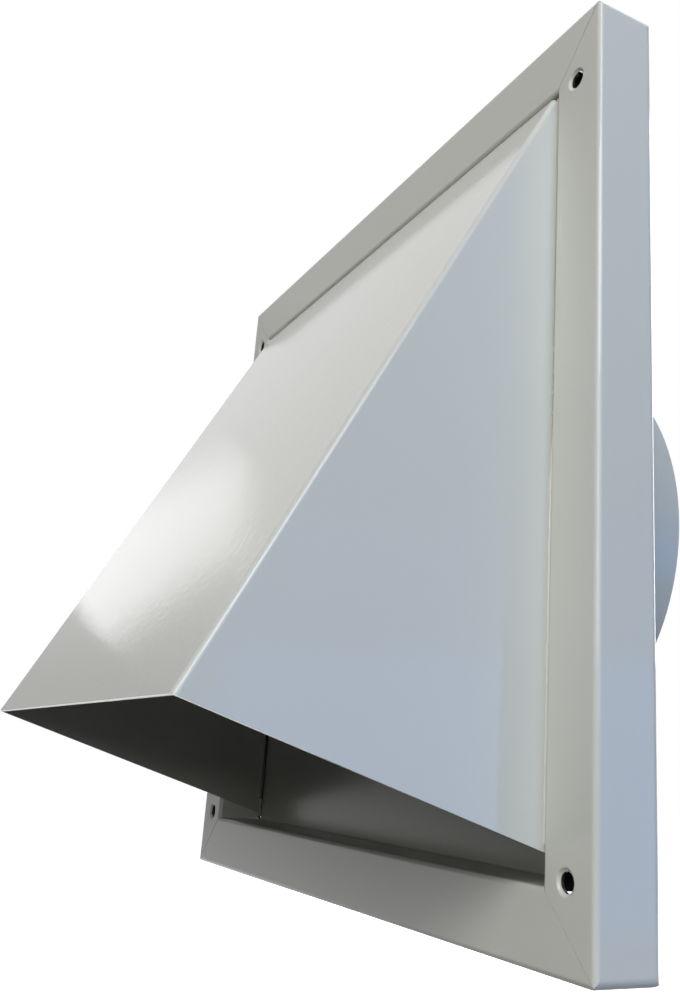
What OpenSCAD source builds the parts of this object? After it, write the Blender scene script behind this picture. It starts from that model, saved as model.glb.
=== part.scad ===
// Square wall cowl for a round ventilation duct.
// A folded sheet tray stands on the wall, a folded hood sheds the rain over its
// recess, and a round spigot behind it takes the duct. A flap inside the spigot
// hangs shut on its own weight and swings open in the air that is blown out.
// The origin is on the spigot's axis in the wall plane. +Z is up, and the hood
// stands out along -Y.

/* [Sheet] */
// Thickness of the folded sheet
sheet = 0.8; // [0.7:0.1:1]
// Inside radius of its bends
bend_in = 0.4; // [0.3:0.1:0.5]

/* [Tray] */
// Width of the recess that holds the hood
recess_w = 179; // [172:1:190]
// Height of the recess
recess_h = 178; // [172:1:190]
// Distance from the front face to the wall
tray_depth = 16; // [14:0.5:18]
// Width of the face bands at the sides
band_side = 15.5; // [14:0.5:20]
// Width of the face band above the hood
band_top = 16.5; // [14:0.5:20]
// Width of the face band below the hood
band_foot = 15.5; // [14:0.5:20]
// Space between the hems behind the skirts and the wall
hem_gap = 0.2; // [0:0.1:1]
// Width of those hems, which are folded inward
hem_w = 5; // [4.5:0.5:6]
// Inside radius of the bend into the hem
hem_bend = 0.8; // [0.4:0.1:1.2]
// Radius of the tray's four outer corners, seen from the front
corner_r = 2; // [1.2:0.1:2.5]
// Diameter of the small holes that free the folds at the recess's rear corners
relief_d = 1.8; // [1.4:0.2:2.4]

/* [Wall screws] */
// Distance between the screw holes across the tray
screw_pitch_x = 193; // [192:0.5:195]
// Distance between the screw holes up the tray
screw_pitch_z = 176; // [150:1:178]
// Diameter of the screw holes
screw_d = 4; // [3.5:0.5:4.5]
// Diameter of the dimple pressed round each screw hole
dimple_d = 5.6; // [5.2:0.2:7]
// Depth of that dimple
dimple_depth = 0.5; // [0.4:0.1:0.9]

/* [Hood] */
// How far the hood's lip stands in front of the face
hood_reach = 77; // [72:1:84]
// Depth of the lip below the spigot's axis
lip_drop = 59.7; // [56:0.1:66]
// Height of the cheeks' lower edges above the recess floor, where they pass the face
cheek_rise = 6.3; // [4:0.1:10]
// Space between each cheek and the recess wall beside it
cheek_gap = 0.4; // [0.4:0.1:1]
// Space between the hood's top and the recess wall above it
roof_gap = 0.6; // [0.4:0.1:1]
// Length of the feet that hold the hood to the tray's back
foot_len = 24; // [16:1:30]
// Width of those feet
foot_w = 12; // [9:1:14]

/* [Spigot] */
// Outside diameter of the spigot
spigot_d = 122; // [118:1:124]
// Length of the spigot behind the wall plane
spigot_len = 50; // [48:1:60]
// Width of the flange that seats on the tray's back
flange_w = 6; // [5:0.5:8]
// Inside radius of the bend between the tube and its flange
flange_bend = 1; // [0.9:0.1:1.2]

/* [Flap] */
// Space between the shut flap's edge and the spigot's bore
flap_clear = 3.2; // [3:0.1:4]
// Height of the flap's axle above the spigot's axis
axle_rise = 16; // [12:1:17]
// Distance of the axle behind the wall plane
axle_set = 10; // [10:0.5:11]
// Diameter of the axle
axle_d = 4; // [3:0.5:4]
// Thickness of the flap
flap_sheet = 0.8; // [0.6:0.1:1]
// Diameter of the stiffening bead pressed into the flap
bead_d = 92; // [90:1:96]
// Distance of the two clips from the middle of the axle
clip_off = 30; // [24:1:31]
// Thickness of the seals that the flap shuts on
seal_t = 2; // [1.6:0.2:2]
// Radial width of the ledges that carry the seals
seat_w = 5.7; // [5.4:0.1:6.2]

/* [Hidden] */
$fn = 96;

// Sheet metal
bend_out = bend_in + sheet;
seam = 0.4;
past = 1;

// Tray
face_y = -tray_depth;
panel_y = -sheet;
face_w = recess_w + 2 * band_side;
face_top = recess_h / 2 + band_top;
face_foot = -recess_h / 2 - band_foot;
face_mid = (face_top + face_foot) / 2;
span = 2 * max(face_w, face_top - face_foot);
hem_y = -hem_gap;
hole_play = 0.1;
panel_hole_r = spigot_d / 2 + flange_bend + hole_play;
dimple_steps = 6;
mitre_w = 0.16;
mitre_depth = 0.25;

// Hood: its fold line lies in the face plane, its rear edges one bend in front of the panel
hood_w = recess_w - 2 * cheek_gap;
roof_z = recess_h / 2 - roof_gap;
rear_y = panel_y - bend_out;
lip_y = face_y - hood_reach;
cheek_z = -recess_h / 2 + cheek_rise;
slope_run = roof_z + lip_drop;
slope_a = atan2(slope_run, hood_reach);
slope_len = norm([slope_run, hood_reach]);
mitre_a = 90 - slope_a / 2;
cheek_grade = (cheek_z + lip_drop) / hood_reach;
notch_r = 1.1;
foot_z = [52, -38];

// Spigot
tube_r = spigot_d / 2;
bore_r = tube_r - sheet;

// Flap, hung on the front of its axle
axle_r = axle_d / 2;
flap_r = bore_r - flap_clear;
flap_back = axle_set - axle_r;
flap_front = flap_back - flap_sheet;
bead_w = 4;
bead_h = 0.8;
run_gap = 0.05;
shut_gap = 0.2;
clip_w = 10;
clip_foot = 6.5;
rivet_r = 1.5;
rivet_hole_r = 1.6;
rivet_head_r = 2.9;
rivet_head_h = 1.1;
rivet_tail_r = 2.3;
rivet_tail_h = 0.9;
rivet_off = axle_r + sheet + clip_foot / 2;

// Seats and bushes
seat_leg = 5;
lower_span = 192;
upper_span = 126;
seal_inset = 1.2;
bush_r = 3.5;
bush_flange_r = 5.5;
bush_flange_t = 1.2;
bush_shy = 0.1;

coat = [0.80, 0.80, 0.78];
alu = [0.77, 0.78, 0.79];
zinc = [0.66, 0.68, 0.70];
nylon = [0.90, 0.89, 0.85];
foam = [0.13, 0.13, 0.14];

// A profile of x and y, drawn out along Z about the middle
module along_z(len) linear_extrude(len, center = true) children();

// A profile whose x is height and y is depth, drawn out along X about the middle
module along_x(len) rotate([0, -90, 0]) linear_extrude(len, center = true) children();

// A solid whose axis is Z, turned so that the axis points into the wall
module into_wall() rotate([-90, 0, 0]) children();

// Rectangle from lo to hi and from front to back, round at its front and its back corners
module all_rounded(lo, hi, front, back, r_front, r_back) {
    depth = back - front;
    translate([lo, front + r_front]) square([hi - lo, depth - r_front - r_back]);
    translate([lo + r_front, front]) square([hi - lo - 2 * r_front, depth - r_back]);
    translate([lo + r_back, front + r_front]) square([hi - lo - 2 * r_back, depth - r_front]);
    for (u = [lo + r_front, hi - r_front]) translate([u, front + r_front]) circle(r_front);
    for (u = [lo + r_back, hi - r_back]) translate([u, back - r_back]) circle(r_back);
}

// The same with only its two front corners round
module front_rounded(lo, hi, front, back, r) {
    translate([lo + r, front]) square([hi - lo - 2 * r, back - front]);
    translate([lo, front + r]) square([hi - lo, back - front - r]);
    for (u = [lo + r, hi - r]) translate([u, front + r]) circle(r);
}

// Square corner at the origin with its legs along -x and -y, round at the corner
module round_corner(w, h, r) {
    translate([-w, -h]) square([w - r, h]);
    translate([-w, -h]) square([w, h - r]);
    translate([-r, -r]) circle(r);
}

// Sheet bent square: legs of w along -x and h along -y, the outer corner at the origin
module bent_sheet(w, h, r = bend_in) {
    difference() {
        round_corner(w, h, r + sheet);
        translate([-sheet, -sheet]) round_corner(w, h, r);
    }
}

// TRAY

// Section of the recess: round at the back, and flared into the face by a bend in front
module recess_section(lo, hi, front, back, r_front, r_back, lead) {
    difference() {
        union() {
            mirror([0, 1]) front_rounded(lo, hi, -back, -front, r_back);
            translate([lo - r_front, front - lead]) square([hi - lo + 2 * r_front, r_front + lead]);
        }
        for (u = [lo - r_front, hi + r_front]) translate([u, front + r_front]) circle(r_front);
    }
}

// Face, skirts and hems as a solid with every edge round, drawn in by inset on every side
module cover(inset) {
    x = face_w / 2 - inset;
    low = face_foot + inset;
    high = face_top - inset;
    front = face_y + inset;
    back = hem_y - inset;
    r_front = bend_out - inset;
    r_hem = hem_bend + sheet - inset;
    r_corner = corner_r - inset;
    intersection() {
        along_z(span) all_rounded(-x, x, front, back, r_front, r_hem);
        along_x(span) all_rounded(low, high, front, back, r_front, r_hem);
        into_wall() linear_extrude(span, center = true) all_rounded(-x, x, -high, -low, r_corner, r_corner);
    }
}

// What the hems leave open at the back, and the seams where they are mitred at the corners
module rear_opening() {
    x = face_w / 2 - hem_w;
    z = (face_top - face_foot) / 2 - hem_w;
    depth = 2 * (sheet + past);
    translate([0, hem_y, face_mid]) {
        cube([2 * x, depth, 2 * z], center = true);
        for (side = [-1, 1], end = [-1, 1]) translate([side * x, 0, end * z]) rotate([0, -side * end * 45, 0]) {
            cube([2 * (hem_w - sheet), depth, seam], center = true);
        }
    }
}

// The recess as a solid, grown by grow on its sides and back
module recess(grow, r_front, r_back, lead) {
    front = face_y + grow;
    back = panel_y + grow;
    x = recess_w / 2 + grow;
    z = recess_h / 2 + grow;
    intersection() {
        along_z(span) recess_section(-x, x, front, back, r_front, r_back, lead);
        along_x(span) recess_section(-z, z, front, back, r_front, r_back, lead);
    }
}

// Depth of the pressed dimple at a radius: a half cosine from the hole to the rim
function dimple_y(r) = dimple_depth * (1 + cos(180 * (r - screw_d / 2) / (dimple_d / 2 - screw_d / 2))) / 2;
dimple_step = (dimple_d - screw_d) / 2 / dimple_steps;
dimple_curve = [for (i = [0 : dimple_steps - 1]) let (r = screw_d / 2 + i * dimple_step) [r, dimple_y(r)]];
dimple_rim = [dimple_d / 2 + dimple_step, -dimple_curve[dimple_steps - 1].y];

// Solid between the dimple's curve and top, a depth in front of it
module dimple_solid(top) {
    into_wall() rotate_extrude() {
        polygon(concat([[0, top], [0, dimple_depth]], dimple_curve, [dimple_rim, [dimple_rim.x, top]]));
    }
}

module at_screws() {
    for (x = [-1, 1], z = [-1, 1]) {
        translate([x * screw_pitch_x / 2, face_y, face_mid + z * screw_pitch_z / 2]) children();
    }
}

// Seams where the face bands are mitred: a fine slot from each recess corner to the face's corner
module mitre_seams() {
    for (side = [-1, 1], end = [[recess_h / 2, face_top], [-recess_h / 2, face_foot]]) {
        run = [side * (face_w - recess_w) / 2, end[1] - end[0]];
        len = norm(run) - 2 * bend_out;
        translate([side * recess_w / 2, face_y, end[0]]) rotate([0, -atan2(run.y, run.x), 0]) {
            translate([bend_out + len / 2, 0, 0]) cube([len, 2 * mitre_depth, mitre_w], center = true);
        }
    }
}

module tray() {
    color(coat) difference() {
        union() {
            difference() {
                cover(0);
                cover(sheet);
                rear_opening();
            }
            recess(sheet, bend_in, bend_out, sheet / 2);
            at_screws() translate([0, sheet, 0]) dimple_solid(-sheet / 2);
        }
        recess(0, bend_out, bend_in, past);
        at_screws() dimple_solid(-past);
        at_screws() into_wall() cylinder(h = tray_depth / 2, d = screw_d);
        into_wall() cylinder(h = tray_depth, r = panel_hole_r, center = true);
        for (x = [-1, 1], z = [-1, 1]) translate([x * recess_w / 2, panel_y, z * recess_h / 2]) {
            into_wall() cylinder(h = 2 * bend_out, d = relief_d, center = true);
        }
        mitre_seams();
    }
}

// HOOD

// Side outline of height and depth, drawn in by inset, and then open behind and below
module side_outline(inset) {
    r = bend_out - inset;
    open = inset > 0 ? past + sheet : 0;
    low = inset > 0 ? 3 * sheet : 0;
    down = [-sin(slope_a), -cos(slope_a)];
    out = [cos(slope_a), -sin(slope_a)];
    halving = [-sin(mitre_a), cos(mitre_a)] / cos(slope_a / 2);
    fold = [roof_z, face_y] + inset * halving;
    lip = [-lip_drop, lip_y] - inset * out + low * down;
    centre = [roof_z, face_y] + bend_out * halving;
    back = rear_y + open;
    foot = -lip_drop + cheek_grade * (back - lip_y) - 2 * low;
    tangent = r * tan(slope_a / 2);
    on_top = fold + [0, tangent];
    on_slope = fold + tangent * down;
    difference() {
        polygon([fold, [fold.x, back], [foot, back], lip]);
        difference() {
            polygon([on_top, on_top + [past, 0], fold - past * halving, on_slope + past * out, on_slope, centre]);
            translate(centre) circle(r);
        }
    }
}

// Solid channel whose web lies in the slope, with a round edge along each ridge
module channel(inset) {
    half = hood_w / 2 - inset;
    translate([0, face_y, roof_z]) rotate([slope_a - 90, 0, 0]) linear_extrude(2 * span, center = true) {
        front_rounded(-half, half, inset, slope_len, bend_out - inset);
    }
}

// Everything in front of the plane that halves the fold, or behind it
module mitre_side(behind) {
    translate([0, face_y, roof_z]) rotate([-mitre_a, 0, 0]) {
        translate([-hood_w, -span, behind ? 0 : -span]) cube([2 * hood_w, 2 * span, span]);
    }
}

// The hood as a solid, drawn in by inset
module hood_solid(inset) {
    intersection() {
        along_x(hood_w - 2 * inset) side_outline(inset);
        union() {
            intersection() {
                channel(inset);
                mitre_side(false);
            }
            mitre_side(true);
        }
    }
}

module hood() {
    leg = bend_out + past;
    color(coat) {
        difference() {
            hood_solid(0);
            hood_solid(sheet);
            for (side = [-1, 1]) {
                translate([side * (hood_w / 2 - sheet - seam / 2), face_y + span / 2, roof_z]) {
                    cube([seam, span, 3 * sheet], center = true);
                }
                translate([side * (hood_w / 2 - sheet / 2), face_y, roof_z - sheet / 2]) sphere(notch_r);
            }
        }
        for (side = [0, 1], z = foot_z) mirror([side, 0, 0]) {
            translate([hood_w / 2, panel_y, z]) along_z(foot_len) bent_sheet(foot_w, leg);
        }
        translate([0, panel_y, roof_z]) along_x(foot_len) bent_sheet(foot_w, leg);
    }
}

// SPIGOT

// Whatever turns on the flap's axle, drawn with the axle along Z
module on_axle() translate([0, axle_set, axle_rise]) rotate([0, 90, 0]) children();

module spigot() {
    color(coat) difference() {
        into_wall() rotate_extrude() {
            translate([bore_r, 2 * panel_y]) rotate(180) bent_sheet(flange_w + sheet, spigot_len - 2 * panel_y, flange_bend);
        }
        on_axle() cylinder(h = 2 * spigot_d, r = bush_r, center = true);
    }
}

// SEATS AND SEALS

// A profile of radius and depth, carried round an arc about the bottom of the bore
module lower_arc() into_wall() rotate([0, 0, 90 - lower_span / 2]) rotate_extrude(angle = lower_span) children();

// The same about the top of the bore
module upper_arc() into_wall() rotate([0, 0, 270 - upper_span / 2]) rotate_extrude(angle = upper_span) children();

module seal_section() square([seat_w - seal_inset, seal_t]);

module seat_lower() {
    color(coat) lower_arc() translate([bore_r, flap_back + shut_gap + seal_t]) {
        mirror([0, 1]) bent_sheet(seat_w, seat_leg);
    }
}

module seat_upper() {
    color(coat) upper_arc() translate([bore_r, flap_front - shut_gap - seal_t]) bent_sheet(seat_w, seat_leg);
}

module seal_lower() {
    color(foam) lower_arc() translate([bore_r - seat_w, flap_back + shut_gap]) seal_section();
}

module seal_upper() {
    color(foam) upper_arc() translate([bore_r - seat_w, flap_front - shut_gap - seal_t]) seal_section();
}

// BUSHES

// Flanged bush: the flange is a saddle on the bore, and the sleeve's end is cut flat along the tube
module bush() {
    slant = asin(axle_rise / tube_r);
    color(nylon) difference() {
        union() {
            intersection() {
                on_axle() cylinder(h = spigot_d, r = bush_flange_r);
                into_wall() cylinder(h = 2 * spigot_len, r = bore_r, center = true);
            }
            intersection() {
                on_axle() cylinder(h = spigot_d, r = bush_r);
                rotate([0, -slant, 0]) translate([0, 0, -span / 2]) cube([tube_r - bush_shy, span, span]);
            }
        }
        into_wall() cylinder(h = 3 * spigot_len, r = bore_r - bush_flange_t, center = true);
        on_axle() cylinder(h = 2 * spigot_d, r = axle_r + run_gap);
    }
}

module bush_right() bush();

module bush_left() mirror([1, 0, 0]) bush();

// FLAP

// Each rivet's place, at the middle of the flap's front face
module at_rivets() {
    for (x = [-clip_off, clip_off], z = [-rivet_off, rivet_off]) {
        translate([x, flap_front, axle_rise + z]) into_wall() children();
    }
}

// Section of the flap from its centre to its edge, with a bead pressed out in front
module flap_section() {
    bead_r = ((bead_w / 2) ^ 2 + bead_h ^ 2) / (2 * bead_h);
    centre = [bead_d / 2, flap_front - bead_h + bead_r];
    difference() {
        union() {
            translate([0, flap_front]) square([flap_r, flap_sheet]);
            intersection() {
                translate(centre) circle(bead_r);
                translate([bead_d / 2 - bead_w, flap_back - 2 * bead_r]) square([2 * bead_w, 2 * bead_r - flap_sheet / 2]);
            }
        }
        translate(centre) circle(bead_r - flap_sheet);
    }
}

module flap() {
    color(alu) difference() {
        into_wall() rotate_extrude() flap_section();
        at_rivets() cylinder(h = 4 * flap_sheet, r = rivet_hole_r, center = true);
    }
}

// Pin with a small chamfer round each end
module flap_axle() {
    half = sqrt(tube_r ^ 2 - (axle_rise + axle_r) ^ 2) - run_gap;
    tip = axle_r / 4;
    side = [[axle_r - tip, -half], [axle_r, tip - half], [axle_r, half - tip], [axle_r - tip, half]];
    color(zinc) on_axle() rotate_extrude() {
        polygon(concat([[0, -half]], side, [[0, half]]));
    }
}

// Strap over the axle, with a foot above and below it on the flap's back
module clip() {
    wrap = axle_r + sheet;
    color(alu) difference() {
        translate([0, axle_set, axle_rise]) along_x(clip_w) difference() {
            union() {
                circle(wrap);
                translate([-wrap, -axle_r]) square([2 * wrap, axle_r]);
                translate([-wrap - clip_foot, -axle_r]) square([2 * (wrap + clip_foot), sheet]);
            }
            circle(axle_r);
            translate([-axle_r, -axle_r - past]) square([2 * axle_r, axle_r + past]);
        }
        for (z = [-1, 1]) translate([0, axle_set, axle_rise + z * rivet_off]) {
            into_wall() cylinder(h = 2 * wrap, r = rivet_hole_r, center = true);
        }
    }
}

module clip_right() translate([clip_off, 0, 0]) clip();

module clip_left() translate([-clip_off, 0, 0]) clip();

// Four rivets, each with a domed head in front and a flat one behind the clip
module flap_rivets() {
    grip = flap_sheet + sheet;
    dome_r = (rivet_head_r ^ 2 + rivet_head_h ^ 2) / (2 * rivet_head_h);
    color(zinc) at_rivets() {
        intersection() {
            translate([0, 0, dome_r - rivet_head_h]) sphere(dome_r);
            translate([0, 0, -2 * rivet_head_h]) cylinder(h = 2 * rivet_head_h, r = 2 * rivet_head_r);
        }
        cylinder(h = grip, r = rivet_r);
        translate([0, 0, grip]) cylinder(h = rivet_tail_h, r = rivet_tail_r);
    }
}

tray();
hood();
spigot();
seat_lower();
seat_upper();
seal_lower();
seal_upper();
bush_left();
bush_right();
flap();
flap_axle();
clip_left();
clip_right();
flap_rivets();
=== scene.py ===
# %% [markdown]
# # A wall vent cowl in grey powder coat
#
# This lesson dresses a ready-made solid model of a sheet-metal wall cowl: a square tray that screws
# to an outside wall, a rain hood that rises out of its recess, and a round spigot with a flap behind.
# The solids arrive finished in shape, so the work here is the camera, the light and the surfaces.
#
# The first cell loads that model as a fixed frame. Everything is in metres. The wall is the plane
# y = 0, the hood stands out towards -Y, and +Z is up.

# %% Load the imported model
from math import radians

import bpy
import numpy as np
from mathutils import Matrix, Vector


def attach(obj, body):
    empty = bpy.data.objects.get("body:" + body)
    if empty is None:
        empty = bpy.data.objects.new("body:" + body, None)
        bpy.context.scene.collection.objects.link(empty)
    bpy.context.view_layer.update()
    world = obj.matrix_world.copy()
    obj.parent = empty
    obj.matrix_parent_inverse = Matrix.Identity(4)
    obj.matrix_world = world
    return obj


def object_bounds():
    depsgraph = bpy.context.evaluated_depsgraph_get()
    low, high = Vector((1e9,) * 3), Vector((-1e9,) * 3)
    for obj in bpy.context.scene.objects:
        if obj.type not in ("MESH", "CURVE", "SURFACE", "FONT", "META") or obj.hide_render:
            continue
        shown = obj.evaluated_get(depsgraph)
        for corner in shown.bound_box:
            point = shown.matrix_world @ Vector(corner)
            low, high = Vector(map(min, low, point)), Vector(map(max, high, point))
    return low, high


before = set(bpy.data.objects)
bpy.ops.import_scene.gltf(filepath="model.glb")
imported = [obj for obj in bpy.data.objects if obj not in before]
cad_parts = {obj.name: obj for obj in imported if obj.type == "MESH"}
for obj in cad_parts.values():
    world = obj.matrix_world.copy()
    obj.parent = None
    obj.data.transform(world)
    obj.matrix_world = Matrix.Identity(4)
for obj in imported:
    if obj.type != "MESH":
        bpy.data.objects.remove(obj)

CAD_BOX = [list(corner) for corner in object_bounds()]
print("box in mm:", [[round(1000 * v, 1) for v in corner] for corner in CAD_BOX])

# %% [markdown]
# ## Where the camera stands
#
# The portrait is taken from very near, right of the hood and a little below its middle, looking up
# and to the left. That is why the far edges shrink so quickly. A camera this close has to be placed
# by measurement: its position in the frame, how far it is turned from the wall's straight-on view, how
# far it is tilted up and how far it is rolled. The picture's middle isn't quite where the lens points,
# which happens when a photograph is cropped, and a small shift of the lens does the same here.

# %% Camera
CAMERA_AT = (0.25404, -0.14368, -0.06938)
CAMERA_TURN = radians(62.25)
CAMERA_TILT = radians(15.97)
CAMERA_ROLL = radians(3.89)
PICTURE = (680, 995)
FOCAL_PIXELS = 1001.7
LENS_CENTRE = (378.8, 481.0)
SENSOR_MM = 36


def make_camera():
    """A camera turned about Z, then tilted up, then rolled about its own axis."""
    data = bpy.data.cameras.new("portrait")
    camera = bpy.data.objects.new("portrait", data)
    bpy.context.scene.collection.objects.link(camera)
    turn = Matrix.Rotation(CAMERA_TURN, 4, "Z")
    tilt = Matrix.Rotation(radians(90) + CAMERA_TILT, 4, "X")
    roll = Matrix.Rotation(CAMERA_ROLL, 4, "Z")
    camera.matrix_world = Matrix.Translation(CAMERA_AT) @ turn @ tilt @ roll
    long_side = max(PICTURE)
    data.sensor_width = SENSOR_MM
    data.lens = SENSOR_MM * FOCAL_PIXELS / long_side
    data.shift_x = (PICTURE[0] / 2 - LENS_CENTRE[0]) / long_side
    data.shift_y = (LENS_CENTRE[1] - PICTURE[1] / 2) / long_side
    data.clip_start, data.clip_end = 0.01, 20
    bpy.context.scene.camera = camera
    return camera


camera = make_camera()
print("lens %.2f mm, shift %.4f, %.4f" % (camera.data.lens, camera.data.shift_x, camera.data.shift_y))

# %% [markdown]
# ## A plain room of light
#
# Grey paint shows its shape only through its light. The room is white to the lens and to every glossy
# reflection, while the light that it sheds is much softer. That is done with the Light Path node: its
# Is Camera, Is Glossy and Is Transmission outputs pick the white background, and all other rays see a
# dim one. The floor works in the same way. Near the cowl it takes the shadow, and further out it fades
# into the white room.
#
# Only the room's far left is grey. The hood's slope mirrors it at its lower end, because a highlight
# shows best beside something darker.

# %% Room and floor
WHITE = (1, 1, 1, 1)
LIGHT_ALL_ROUND = 0.01
GREY_AT = (radians(196), radians(4))
GREY_CORE, GREY_EDGE, GREY_LEVEL = radians(14), radians(23), 0.54
FLOOR_DROP = 0.15
FLOOR_SIZE = 12.0
FLOOR_PALE = (0.86, 0.86, 0.85, 1)
FLOOR_DIM = (0.10, 0.10, 0.10, 1)
FLOOR_ROUGHNESS = 0.9
FLOOR_LIFT_NEAR = 0.30
FADE_FROM, FADE_TO = 0.30, 0.60


def ramp(nodes, links, value, start, end, at_start, at_end):
    """at_start where value is start or less, at_end where it is end or more, straight between."""
    stretch = nodes.new("ShaderNodeMapRange")
    sockets = ("From Min", "From Max", "To Min", "To Max")
    for socket, number in zip(sockets, (start, end, at_start, at_end)):
        stretch.inputs[socket].default_value = number
    links.new(value, stretch.inputs["Value"])
    return stretch.outputs["Result"]


def combined(nodes, links, operation, first, second):
    """Two values put through one Math node."""
    math = nodes.new("ShaderNodeMath")
    math.operation = operation
    for socket, value in zip(math.inputs, (first, second)):
        if isinstance(value, (int, float)):
            socket.default_value = value
        else:
            links.new(value, socket)
    return math.outputs[0]


def seen_directly(nodes, links):
    """1 for camera, glossy and transmission rays, 0 for all others."""
    path = nodes.new("ShaderNodeLightPath")
    kinds = ("Is Camera Ray", "Is Glossy Ray", "Is Transmission Ray")
    camera, glossy, through = (path.outputs[kind] for kind in kinds)
    return combined(nodes, links, "MAXIMUM", camera, combined(nodes, links, "MAXIMUM", glossy, through))


def grey_side(nodes, links):
    """1 in most of the room, and less towards GREY_AT: a ramp over the cosine of the angle to it."""
    where = nodes.new("ShaderNodeTexCoord")
    facing = nodes.new("ShaderNodeVectorMath")
    facing.operation = "DOT_PRODUCT"
    links.new(where.outputs["Generated"], facing.inputs[0])
    azimuth, elevation = GREY_AT
    level, height = np.cos(elevation), np.sin(elevation)
    facing.inputs[1].default_value = (level * np.cos(azimuth), level * np.sin(azimuth), height)
    edge, core = np.cos(GREY_EDGE), np.cos(GREY_CORE)
    return ramp(nodes, links, facing.outputs["Value"], edge, core, 1, GREY_LEVEL)


def make_room():
    """The world: white where it is seen, with one grey side, and dim all round as a light."""
    world = bpy.data.worlds.new("studio room")
    bpy.context.scene.world = world
    world.use_nodes = True
    nodes, links = world.node_tree.nodes, world.node_tree.links
    background = nodes["Background"]
    background.inputs["Color"].default_value = WHITE
    shown = combined(nodes, links, "MULTIPLY", seen_directly(nodes, links), grey_side(nodes, links))
    links.new(combined(nodes, links, "MAXIMUM", shown, LIGHT_ALL_ROUND), background.inputs["Strength"])


def make_floor():
    """One large square below the cowl, pale where it is seen."""
    height = CAD_BOX[0][2] - FLOOR_DROP
    half = FLOOR_SIZE / 2
    mesh = bpy.data.meshes.new("studio_floor")
    corners = [(x * half, y * half, height) for x, y in ((-1, -1), (1, -1), (1, 1), (-1, 1))]
    mesh.from_pydata(corners, [], [(0, 1, 2, 3)])
    floor = bpy.data.objects.new("studio_floor", mesh)
    bpy.context.scene.collection.objects.link(floor)
    material = bpy.data.materials.new("pale floor")
    material.use_nodes = True
    nodes, links = material.node_tree.nodes, material.node_tree.links
    shader = nodes["Principled BSDF"]
    shader.inputs["Roughness"].default_value = FLOOR_ROUGHNESS
    shader.inputs["Specular IOR Level"].default_value = 0.0
    shader.inputs["Emission Color"].default_value = WHITE
    seen = seen_directly(nodes, links)
    paint = nodes.new("ShaderNodeMix")
    paint.data_type = "RGBA"
    paint.inputs["A"].default_value = FLOOR_DIM
    paint.inputs["B"].default_value = FLOOR_PALE
    links.new(seen, paint.inputs["Factor"])
    links.new(paint.outputs["Result"], shader.inputs["Base Color"])
    where = nodes.new("ShaderNodeTexCoord")
    away = nodes.new("ShaderNodeVectorMath")
    away.operation = "LENGTH"
    links.new(where.outputs["Object"], away.inputs[0])
    fade = ramp(nodes, links, away.outputs["Value"], FADE_FROM, FADE_TO, FLOOR_LIFT_NEAR, 1.0)
    links.new(combined(nodes, links, "MULTIPLY", seen, fade), shader.inputs["Emission Strength"])
    mesh.materials.append(material)
    return floor


make_room()
floor = make_floor()
print("floor at z = %.3f m" % floor.data.vertices[0].co.z)

# %% [markdown]
# ## Soft lamps
#
# Each lamp is a rectangle of light that looks at the middle of the cowl. A large one gives soft
# shadows and a wide, calm reflection, and a small one a crisp highlight.
#
# The bright patch on the hood's slope is the mirror image of a window with its corners cut off. An area
# lamp has no such shape, so the window is a glowing mesh with its own outline, given in metres across
# and up from its middle. With growing y its light falls to the level of the white room.

# %% Lamps
AIM = Vector((0, -0.03, 0))
LAMPS = {
    "front right": dict(at=(0.90, -1.00, 0.50), size=(0.80, 0.80), light=5.3, tint=(1, 0.97, 0.90)),
    "high right": dict(at=(1.05, -0.55, 0.80), size=(0.60, 0.60), light=6.3, tint=(1, 0.96, 0.89)),
    "wide right": dict(at=(1.30, -0.20, 0.40), size=(0.80, 0.80), light=2.3, tint=(0.27, 0.60, 1)),
    "blue sky": dict(at=(1.15, 0.75, -0.08), size=(0.90, 0.36), light=1.2, tint=(0.03, 0.25, 1)),
    "blue haze": dict(at=(1.20, 0.78, 0.00), size=(0.95, 0.64), light=0.45, tint=(0.03, 0.25, 1)),
    "left fill": dict(at=(-1.00, 0.85, 0.05), size=(0.60, 0.80), light=5.5, tint=(1, 1, 0.98)),
    "back fill": dict(at=(-0.50, 1.25, 0.55), size=(0.90, 0.90), light=3.0, tint=(1, 1, 0.98)),
}
WINDOW_AT = (-4.20, 0.30, 1.40)
WINDOW_OUTLINE = (
    (0.645, -0.380), (0.500, 0.330), (0.410, 0.430), (0.130, 0.580), (-0.010, 0.560),
    (-0.180, 0.420), (0.080, -0.050), (0.270, -0.420),
)
WINDOW_LIGHT, ROOM_LIGHT = 1.54, 1.0
WINDOW_FADE = (0.10, 0.28)


def make_lamp(name, at, size, light, tint):
    """A rectangle of light; its power is the light it gives per area times its area times pi."""
    data = bpy.data.lights.new(name, "AREA")
    data.shape = "RECTANGLE"
    data.size, data.size_y = size
    data.energy = light * np.pi * size[0] * size[1]
    data.color = tint
    lamp = bpy.data.objects.new(name, data)
    lamp.location = at
    lamp.rotation_euler = (AIM - Vector(at)).to_track_quat("-Z", "Y").to_euler()
    bpy.context.scene.collection.objects.link(lamp)
    return lamp


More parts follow.
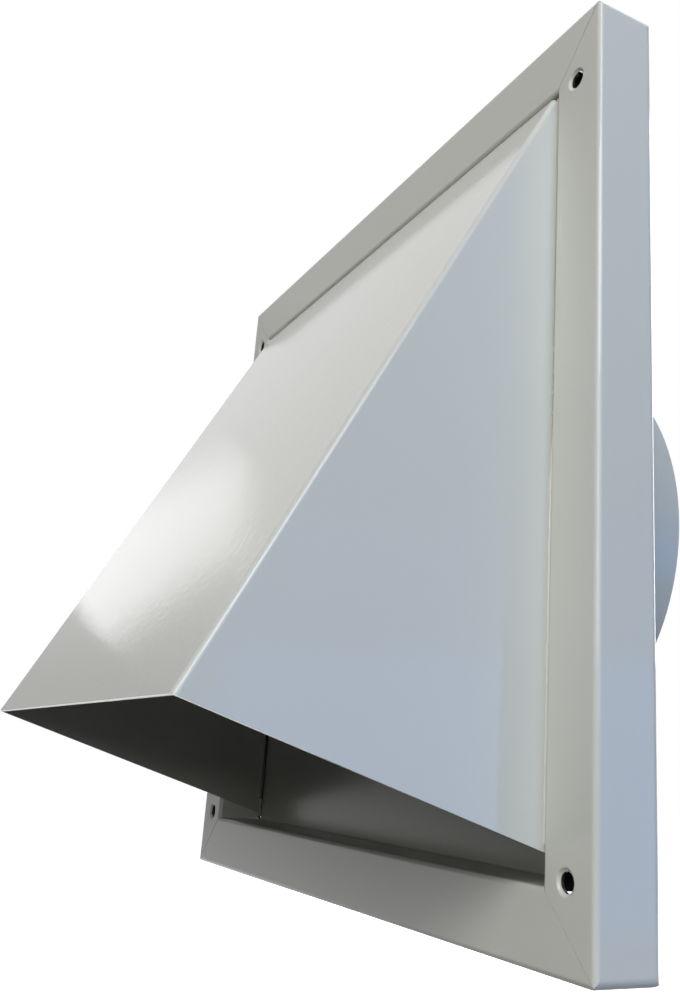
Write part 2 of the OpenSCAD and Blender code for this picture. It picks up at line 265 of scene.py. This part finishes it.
def window_pane(name, outline):
    """A lamp with its own outline that faces AIM; its light is WINDOW_LIGHT up to the first y of
    WINDOW_FADE and falls in a straight line to ROOM_LIGHT at the second. Like the other lamps it
    lights and is mirrored, and the camera doesn't see it."""
    turn = (AIM - Vector(WINDOW_AT)).to_track_quat("-Z", "Y")
    places = [Vector(WINDOW_AT) + turn @ Vector((across, up, 0)) for across, up in outline]
    mesh = bpy.data.meshes.new(name)
    mesh.from_pydata(places, [], [tuple(range(len(places)))])
    material = bpy.data.materials.new("window light")
    material.use_nodes = True
    nodes, links = material.node_tree.nodes, material.node_tree.links
    shader = nodes["Principled BSDF"]
    shader.inputs["Base Color"].default_value = (0, 0, 0, 1)
    shader.inputs["Specular IOR Level"].default_value = 0.0
    shader.inputs["Emission Color"].default_value = WHITE
    where, split = nodes.new("ShaderNodeTexCoord"), nodes.new("ShaderNodeSeparateXYZ")
    links.new(where.outputs["Object"], split.inputs["Vector"])
    level = ramp(nodes, links, split.outputs["Y"], *WINDOW_FADE, WINDOW_LIGHT, ROOM_LIGHT)
    links.new(level, shader.inputs["Emission Strength"])
    mesh.materials.append(material)
    pane = bpy.data.objects.new(name, mesh)
    bpy.context.scene.collection.objects.link(pane)
    pane.visible_camera = False
    return pane


for name, values in LAMPS.items():
    lamp = make_lamp(name, **values)
    print("%-12s %6.2f W" % (name, lamp.data.energy))
pane = window_pane("window_pane", WINDOW_OUTLINE)
print("window with %d corners" % len(pane.data.vertices))

# %% [markdown]
# ## Powder coat
#
# The cowl is sprayed with dry powder that melts into a skin about a tenth of a millimetre thick. The
# skin flows a little as it melts and sets with a fine ripple called orange peel. Its gloss is between
# satin and full gloss. One Principled shader carries it: a warm light grey base, a roughness that
# drifts slightly over the sheet, and two noises in the Bump node for the ripple.
#
# Masks made from the piece's own coordinates paint shade into the colour: a darker grey under the hood,
# where the roughness is also raised, and near-black in the hollow behind the face bands, deep in the
# slits beside the hood and in the relief holes.

# %% Material helpers
def new_material(name):
    """A material with its node tree and its Principled shader."""
    material = bpy.data.materials.new(name)
    material.use_nodes = True
    tree = material.node_tree
    return material, tree.nodes, tree.links, tree.nodes["Principled BSDF"]


def object_noise(nodes, links, scale, detail=2.0, roughness=0.5, stretch=(1, 1, 1)):
    """Noise over the piece's own coordinates in metres; scale is in waves per metre."""
    where = nodes.new("ShaderNodeTexCoord")
    mapping = nodes.new("ShaderNodeMapping")
    mapping.inputs["Scale"].default_value = stretch
    noise = nodes.new("ShaderNodeTexNoise")
    noise.inputs["Scale"].default_value = scale
    noise.inputs["Detail"].default_value = detail
    noise.inputs["Roughness"].default_value = roughness
    links.new(where.outputs["Object"], mapping.inputs["Vector"])
    links.new(mapping.outputs["Vector"], noise.inputs["Vector"])
    return noise.outputs["Fac"]


NOISE_LOW, NOISE_HIGH = 0.3, 0.7


def remap(nodes, links, noise, low, high):
    """Stretches the middle of a noise's range to low..high."""
    return ramp(nodes, links, noise, NOISE_LOW, NOISE_HIGH, low, high)


def tinted(nodes, links, factor, dark, light):
    """A colour between dark and light."""
    mix = nodes.new("ShaderNodeMix")
    mix.data_type = "RGBA"
    mix.inputs["A"].default_value = (*dark, 1)
    mix.inputs["B"].default_value = (*light, 1)
    links.new(factor, mix.inputs["Factor"])
    return mix.outputs["Result"]


def bumped(nodes, links, height, depth, under=None):
    """A Bump node of that depth in metres, on top of an earlier bump."""
    bump = nodes.new("ShaderNodeBump")
    bump.inputs["Strength"].default_value = 1.0
    bump.inputs["Distance"].default_value = depth
    links.new(height, bump.inputs["Height"])
    if under is not None:
        links.new(under, bump.inputs["Normal"])
    return bump.outputs["Normal"]


def dress(material, *names):
    """Puts the material on every slot of those nodes."""
    for name in names:
        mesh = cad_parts[name].data
        if not mesh.materials:
            mesh.materials.append(material)
        for index in range(len(mesh.materials)):
            mesh.materials[index] = material


# %% Powder coat
COAT_LIGHT = (0.575, 0.580, 0.550)
COAT_DARK = (0.560, 0.566, 0.535)
COAT_DRIFT_WAVES, COAT_CLOUD_WAVES = 9, 30
COAT_ROUGHNESS, THIN_ROUGHNESS = (0.055, 0.075), 0.24
COAT_IOR = 1.42
PEEL_WAVES, PEEL_DEPTH = 560, 0.000038
SWELL_WAVES, SWELL_DEPTH = 130, 0.000020
NIB_CELLS, NIB_RADIUS, NIB_SHARE, NIB_DEPTH = 160, 0.07, 0.12, 0.00003
FRAME_MID = 0.0005
HOLLOW_FROM, HOLLOW_TO = 0.0899, 0.1043
HOLLOW_FRONT, HOLLOW_BACK = -0.01535, -0.0006
# Painted shade: near-black in hollows, slits and relief holes, and a darker grey under the hood.
PAINTED_SHADE_DEEP = (0.035, 0.034, 0.032, 1)
PAINTED_SHADE_UNDER_HOOD = (0.375, 0.375, 0.342, 1)
SLOPE_Y, SLOPE_Z, SLOPE_AT = -0.8873, 0.4613, 0.05498
CHEEK_X, ROOF_Z, SILL_Z, WALL_Y, SKIN = 0.0891, 0.0884, -0.0892, 0.0, 0.0004
SLIT_Y, CHEEK_FOOT = -0.0144, -0.0825
RELIEF_AT, RELIEF_R = (0.0896, -0.0012, 0.0891), 0.00095
RELIEF_Y, RELIEF_Z, CREASE_Y = -0.0017, -0.0882, -0.0009
HALF = 0.5


def nibs(nodes, links):
    """Dust under the paint: a small dome in the middle of a few cells of a Voronoi pattern."""
    where = nodes.new("ShaderNodeTexCoord")
    cells = nodes.new("ShaderNodeTexVoronoi")
    cells.inputs["Scale"].default_value = NIB_CELLS
    links.new(where.outputs["Object"], cells.inputs["Vector"])
    dome = ramp(nodes, links, cells.outputs["Distance"], 0, NIB_RADIUS, 1, 0)
    luck = nodes.new("ShaderNodeSeparateColor")
    links.new(cells.outputs["Color"], luck.inputs[0])
    chosen = combined(nodes, links, "LESS_THAN", luck.outputs[0], NIB_SHARE)
    return combined(nodes, links, "MULTIPLY", dome, chosen)


def all_of(nodes, links, *limits):
    """1 where every (value, operation, limit) holds, 0 elsewhere: the product of the single tests."""
    mask = 1.0
    for value, operation, limit in limits:
        mask = combined(nodes, links, "MULTIPLY", mask, combined(nodes, links, operation, value, limit))
    return mask


def coordinates(nodes, links):
    """The piece's own |x|, y and z in metres."""
    where = nodes.new("ShaderNodeTexCoord")
    parts = nodes.new("ShaderNodeSeparateXYZ")
    links.new(where.outputs["Object"], parts.inputs[0])
    across = combined(nodes, links, "ABSOLUTE", parts.outputs["X"], 0)
    return across, parts.outputs["Y"], parts.outputs["Z"]


def inside_frame(nodes, links):
    """1 in the hollow behind the face bands, where the coat paints near-black shade."""
    across, depth, height = coordinates(nodes, links)
    rise = combined(nodes, links, "ABSOLUTE", combined(nodes, links, "SUBTRACT", height, FRAME_MID), 0)
    out = combined(nodes, links, "MAXIMUM", across, rise)
    return all_of(nodes, links, (out, "GREATER_THAN", HOLLOW_FROM), (out, "LESS_THAN", HOLLOW_TO),
                  (depth, "GREATER_THAN", HOLLOW_FRONT), (depth, "LESS_THAN", HOLLOW_BACK))


def under_hood(nodes, links):
    """1 between the cheeks, in front of the wall and behind the slope, whose outer face is the plane
    y * SLOPE_Y + z * SLOPE_Z = SLOPE_AT. The coat paints shade there and is rougher."""
    across, depth, height = coordinates(nodes, links)
    outward = combined(nodes, links, "MULTIPLY", depth, SLOPE_Y)
    upward = combined(nodes, links, "MULTIPLY", height, SLOPE_Z)
    reach = combined(nodes, links, "ADD", outward, upward)
    return all_of(nodes, links, (reach, "LESS_THAN", SLOPE_AT - SKIN), (depth, "LESS_THAN", WALL_Y),
                  (across, "LESS_THAN", CHEEK_X - SKIN), (height, "LESS_THAN", ROOF_Z - SKIN),
                  (height, "GREATER_THAN", SILL_Z))


def in_the_slits(nodes, links):
    """1 deep in the slits beside and above the hood, in the relief holes at the recess's foot, and in
    the crease between them, where the coat paints near-black shade."""
    across, depth, height = coordinates(nodes, links)
    beyond = combined(nodes, links, "GREATER_THAN", across, CHEEK_X - SKIN)
    above = combined(nodes, links, "GREATER_THAN", height, ROOF_Z - SKIN)
    beside = combined(nodes, links, "MAXIMUM", beyond, above)
    slits = all_of(nodes, links, (beside, "GREATER_THAN", HALF), (depth, "GREATER_THAN", SLIT_Y),
                   (height, "GREATER_THAN", CHEEK_FOOT))
    holes = all_of(nodes, links, (beyond, "GREATER_THAN", HALF), (depth, "GREATER_THAN", RELIEF_Y),
                   (height, "LESS_THAN", RELIEF_Z))
    creases = all_of(nodes, links, (beyond, "GREATER_THAN", HALF), (depth, "GREATER_THAN", CREASE_Y),
                     (height, "LESS_THAN", 0))
    low = combined(nodes, links, "MAXIMUM", holes, creases)
    dark = combined(nodes, links, "MAXIMUM", slits, low)
    return all_of(nodes, links, (dark, "GREATER_THAN", HALF), (across, "LESS_THAN", HOLLOW_FROM),
                  (height, "LESS_THAN", HOLLOW_FROM - FRAME_MID), (depth, "LESS_THAN", WALL_Y))


def powder_coat():
    """Warm grey skin with orange peel: a fine ripple and a few specks of dust on a slower swell."""
    material, nodes, links, shader = new_material("grey powder coat")
    drift = object_noise(nodes, links, COAT_DRIFT_WAVES, detail=3)
    paint = tinted(nodes, links, remap(nodes, links, drift, 0, 1), COAT_DARK, COAT_LIGHT)
    # Painted shade: near-black in the hollow behind the face bands, in the slits and in the relief holes.
    painted_deep_shade = combined(nodes, links, "MAXIMUM", inside_frame(nodes, links), in_the_slits(nodes, links))
    # Painted shade: a darker grey under the hood, where the roughness is also raised.
    painted_shade_and_rough = under_hood(nodes, links)
    for mask, colour in ((painted_shade_and_rough, PAINTED_SHADE_UNDER_HOOD), (painted_deep_shade, PAINTED_SHADE_DEEP)):
        change = nodes.new("ShaderNodeMix")
        change.data_type = "RGBA"
        change.inputs["B"].default_value = colour
        links.new(mask, change.inputs["Factor"])
        links.new(paint, change.inputs["A"])
        paint = change.outputs["Result"]
    links.new(paint, shader.inputs["Base Color"])
    cloud = object_noise(nodes, links, COAT_CLOUD_WAVES)
    dry = combined(nodes, links, "MULTIPLY", painted_shade_and_rough, THIN_ROUGHNESS)
    gloss = combined(nodes, links, "MAXIMUM", dry, remap(nodes, links, cloud, *COAT_ROUGHNESS))
    links.new(gloss, shader.inputs["Roughness"])
    swell = bumped(nodes, links, object_noise(nodes, links, SWELL_WAVES), SWELL_DEPTH)
    peel = bumped(nodes, links, object_noise(nodes, links, PEEL_WAVES), PEEL_DEPTH, swell)
    links.new(bumped(nodes, links, nibs(nodes, links), NIB_DEPTH, peel), shader.inputs["Normal"])
    shader.inputs["IOR"].default_value = COAT_IOR
    return material


COATED = ("tray", "hood", "spigot", "seat_lower", "seat_upper")
coat = powder_coat()
dress(coat, *COATED)
print("coated:", ", ".join(COATED))

# %% [markdown]
# ## Metal, nylon and foam
#
# The flap, its clips and its axle are bare metal. Rolled aluminium carries faint streaks along the way
# it was rolled, so its noise is stretched many times longer than it is wide. Zinc plating is brighter,
# with a bluish bloom that drifts towards straw. Nylon lets a little light in under its skin, and the
# foam seals are matt, with the cut-open cells showing as small pits.

# %% Bare metal
SHEET_STREAKS, SHEET_STRETCH, SHEET_CLOUDS = 60, (0.3, 12, 12), 35
SHEET_DARK, SHEET_LIGHT = (0.70, 0.71, 0.72), (0.80, 0.81, 0.82)
SHEET_ROUGHNESS, SHEET_DEPTH = (0.30, 0.46), 0.000008
ZINC_CLOUDS, ZINC_TURNS, ZINC_STRETCH = 110, 900, (1, 0.1, 0.1)
ZINC_BLUE, ZINC_STRAW = (0.58, 0.63, 0.70), (0.72, 0.69, 0.60)
ZINC_ROUGHNESS, ZINC_DEPTH = (0.22, 0.38), 0.000012


def rolled_sheet():
    """Aluminium: long streaks in the roughness and a very shallow grain along X."""
    material, nodes, links, shader = new_material("rolled aluminium")
    shader.inputs["Metallic"].default_value = 1.0
    streak = object_noise(nodes, links, SHEET_STREAKS, detail=4, stretch=SHEET_STRETCH)
    cloud = remap(nodes, links, object_noise(nodes, links, SHEET_CLOUDS, detail=3), 0, 1)
    links.new(tinted(nodes, links, cloud, SHEET_DARK, SHEET_LIGHT), shader.inputs["Base Color"])
    links.new(remap(nodes, links, streak, *SHEET_ROUGHNESS), shader.inputs["Roughness"])
    links.new(bumped(nodes, links, streak, SHEET_DEPTH), shader.inputs["Normal"])
    return material


def zinc_plate():
    """Bright zinc: bluish to straw in slow clouds, with turning marks round the axle."""
    material, nodes, links, shader = new_material("bright zinc")
    shader.inputs["Metallic"].default_value = 1.0
    bloom = remap(nodes, links, object_noise(nodes, links, ZINC_CLOUDS, detail=3), 0, 1)
    links.new(tinted(nodes, links, bloom, ZINC_BLUE, ZINC_STRAW), shader.inputs["Base Color"])
    turning = object_noise(nodes, links, ZINC_TURNS, stretch=ZINC_STRETCH)
    links.new(remap(nodes, links, turning, *ZINC_ROUGHNESS), shader.inputs["Roughness"])
    links.new(bumped(nodes, links, turning, ZINC_DEPTH), shader.inputs["Normal"])
    return material


flap_sheet, zinc = rolled_sheet(), zinc_plate()
dress(flap_sheet, "flap", "clip_left", "clip_right")
dress(zinc, "flap_axle", "flap_rivets")
print("metals:", flap_sheet.name, "and", zinc.name)

# %% Nylon and foam
NYLON_FLOW, NYLON_GRAIN, NYLON_DEPTH = 160, 2600, 0.000010
NYLON_DARK, NYLON_LIGHT = (0.72, 0.69, 0.60), (0.82, 0.80, 0.73)
NYLON_ROUGHNESS = (0.38, 0.52)
NYLON_GLOW, NYLON_REACH = 0.15, (0.0015, 0.0012, 0.0009)
FOAM_CELLS, FOAM_PIT, FOAM_DEPTH = 1400, (0.02, 0.25), 0.00015
FOAM_DARK, FOAM_LIGHT = (0.010, 0.010, 0.011), (0.035, 0.035, 0.037)
FOAM_ROUGHNESS = 0.9


def moulded_nylon():
    """Natural nylon: creamy, with a faint flow pattern and a fine moulded texture."""
    material, nodes, links, shader = new_material("natural nylon")
    flow = object_noise(nodes, links, NYLON_FLOW, detail=3)
    cloud = remap(nodes, links, flow, 0, 1)
    links.new(tinted(nodes, links, cloud, NYLON_DARK, NYLON_LIGHT), shader.inputs["Base Color"])
    links.new(remap(nodes, links, flow, *NYLON_ROUGHNESS), shader.inputs["Roughness"])
    grain = object_noise(nodes, links, NYLON_GRAIN)
    links.new(bumped(nodes, links, grain, NYLON_DEPTH), shader.inputs["Normal"])
    shader.inputs["Subsurface Weight"].default_value = NYLON_GLOW
    shader.inputs["Subsurface Radius"].default_value = NYLON_REACH
    return material


def cell_foam():
    """Black foam: the distance to a Voronoi cell's edge, cut off early, leaves pits with thin walls."""
    material, nodes, links, shader = new_material("cell foam")
    where = nodes.new("ShaderNodeTexCoord")
    cells = nodes.new("ShaderNodeTexVoronoi")
    cells.feature = "DISTANCE_TO_EDGE"
    cells.inputs["Scale"].default_value = FOAM_CELLS
    links.new(where.outputs["Object"], cells.inputs["Vector"])
    wall = ramp(nodes, links, cells.outputs["Distance"], *FOAM_PIT, 1, 0)
    links.new(tinted(nodes, links, wall, FOAM_DARK, FOAM_LIGHT), shader.inputs["Base Color"])
    shader.inputs["Roughness"].default_value = FOAM_ROUGHNESS
    links.new(bumped(nodes, links, wall, FOAM_DEPTH), shader.inputs["Normal"])
    return material


nylon, foam = moulded_nylon(), cell_foam()
dress(nylon, "bush_left", "bush_right")
dress(foam, "seal_lower", "seal_upper")
print("bushes in", nylon.name, "and seals in", foam.name)

# %% [markdown]
# ## Paint that gathered in holes and seams
#
# Two details are paint and not sheet metal, so they are made here. The first is a drop in each of the
# round relief holes at the recess's corners, which the coat's masks colour near-black as painted shade
# in the hole. A drop is a ball of rings between two poles. One ball is worked out, and the same ball is
# set down four times, at places that mirror each other.

# %% Drops in the relief holes
DROP_RINGS, DROP_AROUND = 8, 16


def painted_piece(name, places, faces):
    """A smooth mesh in the coat's material that rides on the cowl; places are blocks of (x, y, z)."""
    mesh = bpy.data.meshes.new(name)
    mesh.from_pydata(np.concatenate(places).tolist(), [], faces)
    mesh.shade_smooth()
    mesh.materials.append(coat)
    piece = bpy.data.objects.new(name, mesh)
    bpy.context.scene.collection.objects.link(piece)
    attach(piece, "cowl")
    print(name, len(mesh.polygons), "faces")
    return piece


def ball(radius, rings, around):
    """Points and faces of a ball: each ring lies at height radius * cos(t) and is radius * sin(t) wide."""
    down = np.pi * np.arange(1, rings) / rings
    turn = 2 * np.pi * np.arange(around) / around
    wide = np.sin(down)[:, None]
    rise = np.broadcast_to(np.cos(down)[:, None], (rings - 1, around))
    ring = np.stack([wide * np.cos(turn), wide * np.sin(turn), rise], -1)
    points = radius * np.concatenate([[(0, 0, 1)], ring.reshape(-1, 3), [(0, 0, -1)]])
    at = 1 + np.arange((rings - 1) * around).reshape(rings - 1, around)
    after = np.roll(at, -1, 1)
    quads = np.stack([at[:-1], at[1:], after[1:], after[:-1]], -1).reshape(-1, 4).tolist()
    top = [[0, int(a), int(b)] for a, b in zip(at[0], after[0])]
    foot = [[len(points) - 1, int(b), int(a)] for a, b in zip(at[-1], after[-1])]
    return points, top + quads + foot


def relief_drops(name):
    """One ball in each of the four relief holes."""
    points, loops = ball(RELIEF_R, DROP_RINGS, DROP_AROUND)
    places, faces = [], []
    for side in (-1, 1):
        for end in (-1, 1):
            start = len(points) * len(places)
            places.append(points + np.array(RELIEF_AT) * (side, 1, end))
            faces += [[start + k for k in loop] for loop in loops]
    return painted_piece(name, places, faces)


relief_drops("relief_drops")

# %% [markdown]
# The second is the seam beside each cheek. A slit of 0.4 mm is left there between the hood and the
# tray. Near the top it stays open, and its depth is painted near-black as shade. Further down the powder
# bridges it in drops, and below the middle it fills it altogether. The paint's surface is a meniscus: an
# arc that touches the cheek's flat side and the tray's round bend. Its radius grows from half the slit,
# where the paint only just closes it, to a fuller fillet.

# %% Seam paint
BEND_AT, BEND_R = (0.0907, -0.0148), 0.0012
THIN, FULL = 0.00021, 0.00036
BACK = 0.0004
ARC_POINTS = 7
STEP = 0.0005
ROUNDED, TAPERED, LONG = 0.0012, 0.024, 0.05
FEWEST_ROWS = 6
WAVES = ((0.10, 2300, 1), (0.08, 911, 2))
PHASE_STEP = 1.7
MM = 1000
BRIDGES_RIGHT = (
    (23.5, 22.1), (19.6, 18.5), (17.6, 16.5), (14.2, 13.2), (12.6, 11.5), (7.9, 6.8), (5.4, -82.0))
BRIDGES_LEFT = ((31.0, 29.2), (26.4, 25.8), (21.0, 18.2), (15.1, 14.3), (9.8, 6.0), (3.9, -82.0))


def meniscus(radius):
    """Rows of (x, y) for an array of radii: the arc's centre is radius from the cheek and BEND_R + radius
    from the bend's centre, so it touches both; it is followed from one touching point to the other."""
    cx = CHEEK_X + radius
    reach = BEND_R + radius
    cy = BEND_AT[1] - np.sqrt(np.maximum(reach**2 - (cx - BEND_AT[0]) ** 2, 0))
    end = np.arctan2(BEND_AT[1] - cy, BEND_AT[0] - cx)
    turn = np.pi + (end - np.pi)[:, None] * np.linspace(0, 1, ARC_POINTS)[None, :]
    x = cx[:, None] + radius[:, None] * np.cos(turn)
    y = cy[:, None] + radius[:, None] * np.sin(turn)
    corners = [(CHEEK_X + BACK, BEND_AT[1] + BACK), (CHEEK_X, BEND_AT[1] + BACK)]
    back = np.broadcast_to(corners, (len(radius), 2, 2))
    return np.concatenate([np.stack([x, y], -1), back], 1)


def paint_bead(top, foot, phase):
    """One bead from height top down to foot: radius = THIN + (FULL - THIN) * a half sine over its rounded
    ends * a slow wave, lofted through its rows and closed at both ends. A long one starts with a taper."""
    rows = max(FEWEST_ROWS, int((top - foot) / STEP) + 1)
    z = np.linspace(top, foot, rows)
    start = TAPERED if top - foot > LONG else ROUNDED
    end = np.clip(np.minimum((top - z) / start, (z - foot) / ROUNDED), 0, 1)
    wave = 1 + sum(high * np.sin(often * z + times * phase) for high, often, times in WAVES)
    radius = THIN + (FULL - THIN) * np.sin(np.pi / 2 * end) * wave
    ring = meniscus(radius)
    heights = np.broadcast_to(z[:, None, None], (*ring.shape[:2], 1))
    points = np.concatenate([ring, heights], -1)
    count = ring.shape[1]
    here = np.arange(rows * count).reshape(rows, count)
    after = np.roll(here, -1, 1)
    quads = np.stack([here[:-1], after[:-1], after[1:], here[1:]], -1)
    caps = [list(range(count))[::-1], [(rows - 1) * count + k for k in range(count)]]
    return points.reshape(-1, 3), quads.reshape(-1, 4).tolist() + caps


def seam_paint(name, bridges, side):
    """All beads of one side in one mesh; side -1 mirrors them, and turns their faces back outwards."""
    places, faces, start = [], [], 0
    for number, (top, foot) in enumerate(bridges):
        points, loops = paint_bead(top / MM, foot / MM, PHASE_STEP * number + side)
        places.append(points * (side, 1, 1))
        faces += [[start + k for k in (loop if side > 0 else loop[::-1])] for loop in loops]
        start += len(points)
    return painted_piece(name, places, faces)


seam_paint("seam_paint_right", BRIDGES_RIGHT, 1)
seam_paint("seam_paint_left", BRIDGES_LEFT, -1)

# %% [markdown]
# ## Finish
#
# The paint stays inside the sheet metal's box. The last cell shows colours with the Standard view
# transform.

# %% Finish
bpy.context.scene.view_settings.view_transform = "Standard"
